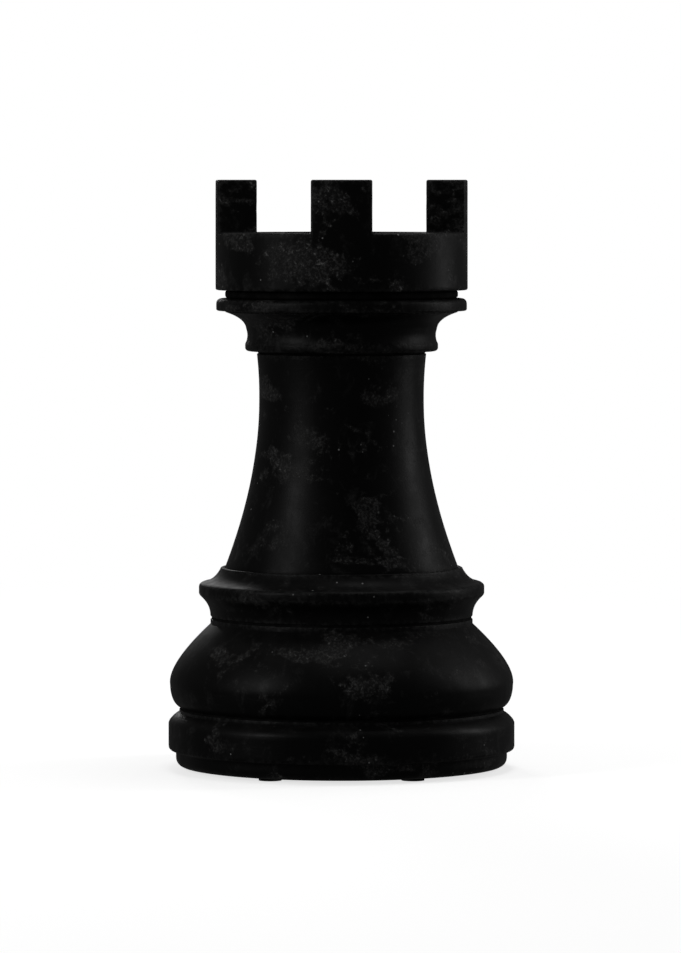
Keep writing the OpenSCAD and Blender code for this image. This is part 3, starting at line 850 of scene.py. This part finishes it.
def soften(obj, width):
    """Rounds the sharp edges for good."""
    bevel = obj.modifiers.new("round", "BEVEL")
    bevel.width = width * MM
    bevel.segments = 3
    bevel.limit_method = "ANGLE"
    bevel.angle_limit = CORNER_FROM
    bevel.miter_outer = "MITER_ARC"
    rounded_mesh = bpy.data.meshes.new_from_object(
        obj.evaluated_get(bpy.context.evaluated_depsgraph_get()))
    obj.modifiers.clear()
    obj.data = rounded_mesh
    for poly in rounded_mesh.polygons:
        poly.use_smooth = True
    rounded_mesh.set_sharp_from_angle(angle=CROWN_SMOOTH_TO)


def edge_points(obj, step=1.5):
    """Points along the mesh's convex sharp edges, in millimetres."""
    bm = bmesh.new()
    bm.from_mesh(obj.data)
    points = []
    for e in bm.edges:
        if len(e.link_faces) == 2 and e.calc_face_angle_signed(0) > CORNER_FROM:
            a, b = (v.co / MM for v in e.verts)
            cuts = max(1, math.ceil((b - a).length / step))
            points += [a.lerp(b, i / cuts) for i in range(cuts + 1)]
    bm.free()
    return points


CROWN_SEED = 8
crown = link_mesh("crown_shell_moulding", crown_mesh())
crown_edges = tree_of(edge_points(crown))
soften(crown, CROWN_EDGE)
for v in crown.data.vertices:
    p = v.co / MM
    r = math.hypot(p.x, p.y)
    if r > CROWN_R - 3 or p.z > CRENEL_Z + 2:
        dent = nearness(crown_edges, p) * nick(*p, CROWN_SEED)
        outward = Vector((p.x, p.y, 0)) / r
        v.co += (outward * ripple(*p, CROWN_SEED) - v.normal * dent) * MM
store_wear(crown, lambda p: nearness(crown_edges, p))
dress(crown, "black_plastic", "crown", "crown_shell")

crown_bosses = bosses("crown_shell_bosses", CROWN_BOSSES, CROWN_BOSS_RING_R, PLATE_TOP,
                      CRENEL_Z - CROWN_WALL / 2)
dress(crown_bosses, "black_plastic", "crown")

base_screws = screws("crown_screw_set", "crown_screws", CROWN_BOSSES, CROWN_BOSS_RING_R)
dress(base_screws, "steel", "crown", "crown_screws")

tray = turned("crown_tray_moulding", [
    (0, TRAY_Z, 0),
    (TRAY_R, TRAY_Z, 0.6),
    (TRAY_R, TRAY_TOP, 0.8),
    (TRAY_R - TRAY_RIM_T, TRAY_TOP, 0.8),
    (TRAY_R - TRAY_RIM_T, TRAY_Z + SHELL_T, 1.5),
    (0, TRAY_Z + SHELL_T, 0),
], seed=9)
dress(tray, "black_plastic", "crown", "crown_tray")

# ---------------------------------------------------------------- CAD nodes that stay in view

CAD_EDGE = 0.35
CAD_EDGE_FROM = math.radians(50)

record_slots = {row["node"]: row["material_slot"] for row in frame["record"]["subparts"]}
for node_name, node in frame["nodes"].items():
    if node.hide_render:
        continue
    node.data.materials.clear()
    node.data.materials.append(SLOTS[record_slots[node_name]])
    edge = node.modifiers.new("round", "BEVEL")
    edge.width = CAD_EDGE * MM
    edge.segments = 2
    edge.limit_method = "ANGLE"
    edge.angle_limit = CAD_EDGE_FROM

# ---------------------------------------------------------------- floor, surround and light

FLOOR_R = 14.0
FLOOR_GLOW = 0.72           # share of the floor's white that no shadow darkens
FADE_FROM, FADE_TO = 0.5, 1.8
AMBIENT = 0.07              # strength of the white surround as a light


def floor_material():
    """Pale floor with a soft shadow by the object, fading into the surround, clear from below."""
    mat = bpy.data.materials.new("floor_white")
    mat.use_nodes = True
    tree = mat.node_tree
    tree.nodes.clear()

    def node(kind, **values):
        made = tree.nodes.new("ShaderNode" + kind)
        for key, value in values.items():
            made.inputs[key.replace("_", " ")].default_value = value
        return made

    paint = node("BsdfDiffuse", Color=(0.8, 0.8, 0.8, 1))
    near_glow = node("Emission", Strength=FLOOR_GLOW)
    far_glow = node("Emission", Strength=1.0)
    near = node("AddShader")
    blend = node("MixShader")
    below = node("MixShader")
    clear = node("BsdfTransparent")
    out = node("OutputMaterial")
    coord = node("TexCoord")
    geometry = node("NewGeometry")
    away = node("VectorMath")
    away.operation = "LENGTH"
    fade = node("MapRange", From_Min=FADE_FROM, From_Max=FADE_TO)
    fade.interpolation_type = "SMOOTHSTEP"
    for a, b in (
        (coord.outputs["Object"], away.inputs[0]),
        (away.outputs["Value"], fade.inputs["Value"]),
        (paint.outputs[0], near.inputs[0]),
        (near_glow.outputs[0], near.inputs[1]),
        (fade.outputs["Result"], blend.inputs[0]),
        (near.outputs[0], blend.inputs[1]),
        (far_glow.outputs[0], blend.inputs[2]),
        (geometry.outputs["Backfacing"], below.inputs[0]),
        (blend.outputs[0], below.inputs[1]),
        (clear.outputs[0], below.inputs[2]),
        (below.outputs[0], out.inputs["Surface"]),
    ):
        tree.links.new(a, b)
    return mat


def add_floor():
    bm = bmesh.new()
    bmesh.ops.create_circle(bm, cap_ends=True, radius=FLOOR_R, segments=96)
    mesh = bpy.data.meshes.new("floor")
    bm.to_mesh(mesh)
    bm.free()
    obj = bpy.data.objects.new("floor", mesh)
    bpy.context.scene.collection.objects.link(obj)
    obj.location.z = CAD_BOX[0].z
    mesh.materials.append(floor_material())
    obj.visible_diffuse = obj.visible_glossy = obj.visible_shadow = False


def add_surround():
    """White to look at, dimmer as a source of light."""
    world = bpy.data.worlds.new("surround")
    bpy.context.scene.world = world
    world.use_nodes = True
    tree = world.node_tree
    background = tree.nodes["Background"]
    background.inputs["Color"].default_value = (1, 1, 1, 1)
    path = tree.nodes.new("ShaderNodeLightPath")
    level = tree.nodes.new("ShaderNodeMapRange")
    level.inputs["To Min"].default_value = AMBIENT
    tree.links.new(path.outputs["Is Camera Ray"], level.inputs["Value"])
    tree.links.new(level.outputs["Result"], background.inputs["Strength"])


def add_light(name, place, size, watts):
    data = bpy.data.lights.new(name, "AREA")
    data.shape = "RECTANGLE"
    data.size, data.size_y = size
    data.energy = watts
    obj = bpy.data.objects.new(name, data)
    bpy.context.scene.collection.objects.link(obj)
    obj.location = place
    obj.rotation_mode = "QUATERNION"
    middle = Vector((0, 0, CROWN_TOP / 2 * MM))
    obj.rotation_quaternion = (middle - obj.location).to_track_quat("-Z", "Y")


add_floor()
add_surround()
add_light("key_left", (-1.9, -1.1, 1.1), (0.35, 1.5), 9)
add_light("rim_right", (2.0, 0.5, 0.9), (0.3, 1.6), 7)
add_light("top_soft", (0.2, 0.1, 2.4), (0.9, 0.9), 10)
add_light("back_soft", (-0.5, 2.2, 1.2), (0.5, 1.4), 7)

bpy.context.scene.view_settings.view_transform = "Standard"
